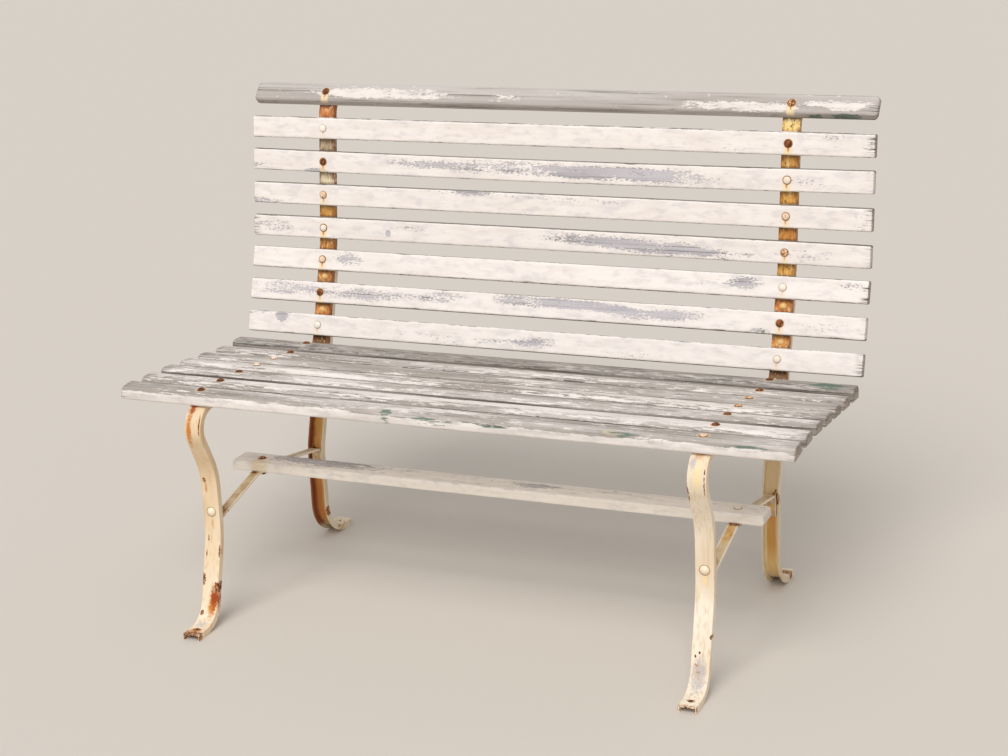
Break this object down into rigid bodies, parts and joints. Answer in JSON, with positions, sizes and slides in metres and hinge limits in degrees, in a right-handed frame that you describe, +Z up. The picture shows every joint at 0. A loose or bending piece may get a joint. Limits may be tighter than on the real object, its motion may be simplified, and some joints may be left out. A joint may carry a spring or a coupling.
{
  "type": "wagon seat bench",
  "caption": "Slatted wooden bench on bent iron channel frames, with a raked back, kicked feet, strap braces and a stretcher board.",
  "frame": {"origin": "middle of the footprint, on the floor", "axes": "+X along the bench, towards its right end as seen from the front; the front is -Y; +Z up"},
  "size_m": [1.219, 0.6716, 0.8796],
  "materials": {
    "rail_wood": "weathered, with flakes of white paint",
    "back_slat_paint": "chipped cream paint over weathered wood",
    "seat_slat_wood": "weathered grey, with worn white paint on the edges",
    "stretcher_paint": "worn white paint over weathered wood",
    "bar_paint": "chipped cream paint over rust",
    "rear_leg_paint": "ochre, rust-stained paint",
    "strap_paint": "worn paint over rust",
    "bolt_iron": "rusty, with remains of white paint",
    "nut_iron": "rusty",
    "rivet_iron": "painted over, rusty at the rim"
  },
  "bodies": {
    "root": {"back_bolts": "bolt_iron", "back_nuts": "nut_iron", "back_rail_top": "rail_wood", "back_slat_2": "back_slat_paint", "back_slat_3": "back_slat_paint", "back_slat_4": "back_slat_paint", "back_slat_5": "back_slat_paint", "back_slat_6": "back_slat_paint", "back_slat_7": "back_slat_paint", "back_slat_8": "back_slat_paint", "back_washers": "nut_iron", "brace_rivets_front": "rivet_iron", "brace_rivets_rear": "rivet_iron", "brace_strap_left": "strap_paint", "brace_strap_right": "strap_paint", "rear_leg_left": "rear_leg_paint", "rear_leg_right": "rear_leg_paint", "seat_bolts": "bolt_iron", "seat_nuts": "nut_iron", "seat_slat_2": "seat_slat_wood", "seat_slat_3": "seat_slat_wood", "seat_slat_4": "seat_slat_wood", "seat_slat_5": "seat_slat_wood", "seat_slat_6": "seat_slat_wood", "seat_slat_front": "seat_slat_wood", "seat_slat_rear": "seat_slat_wood", "seat_washers": "nut_iron", "side_bar_left": "bar_paint", "side_bar_right": "bar_paint", "splice_rivets": "rivet_iron", "stretcher": "stretcher_paint", "stretcher_bolts": "bolt_iron", "stretcher_nuts": "nut_iron", "stretcher_washers": "nut_iron"}
  },
  "joints": []
}
